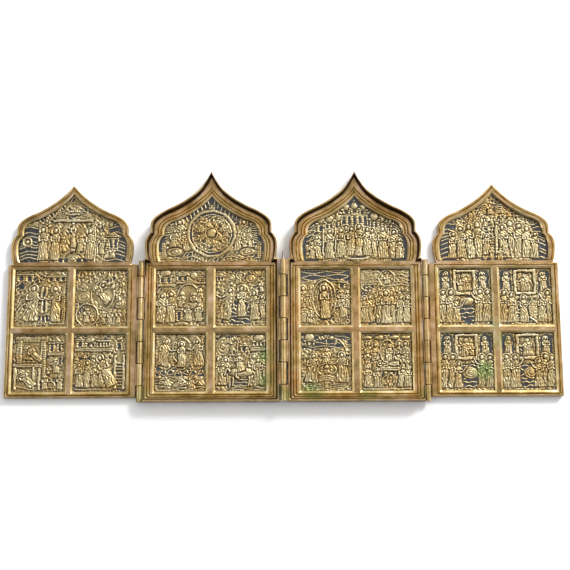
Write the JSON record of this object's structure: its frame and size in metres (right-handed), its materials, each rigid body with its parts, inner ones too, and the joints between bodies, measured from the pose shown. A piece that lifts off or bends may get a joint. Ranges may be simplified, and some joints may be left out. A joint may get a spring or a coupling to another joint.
{
  "type": "folding travel icon",
  "caption": "Folding travel icon: cast brass relief leaves with ogee heads, joined by pin hinges, with dark enamel grounds.",
  "frame": {"origin": "middle of the open icon, on the plane its backs lie on", "axes": "+X across the four leaves, +Y from the foot to the peaks, +Z out of the carved fronts"},
  "size_m": [0.4068, 0.1722, 0.0118],
  "materials": {
    "brass": "aged, worn bright on the high relief",
    "steel": "dull"
  },
  "bodies": {
    "middle_left": {"leaf_middle_left": "brass", "hinge_pin_left": "steel"},
    "outer_left": {"leaf_outer_left": "brass"},
    "middle_right": {"leaf_middle_right": "brass", "hinge_pin_centre": "steel", "hinge_pin_right": "steel"},
    "outer_right": {"leaf_outer_right": "brass"}
  },
  "joints": [
    {"name": "hinge_left", "type": "hinge", "parent": "middle_left", "child": "outer_left", "pos_m": [-0.105, 0, 0.0046], "axis": [0, 1, 0], "range_deg": [0, 180]},
    {"name": "hinge_centre", "type": "hinge", "parent": "middle_left", "child": "middle_right", "pos_m": [0, 0, 0.0096], "axis": [0, -1, 0], "range_deg": [0, 180]},
    {"name": "hinge_right", "type": "hinge", "parent": "middle_right", "child": "outer_right", "pos_m": [0.105, 0, 0.0046], "axis": [0, -1, 0], "range_deg": [0, 180]}
  ]
}
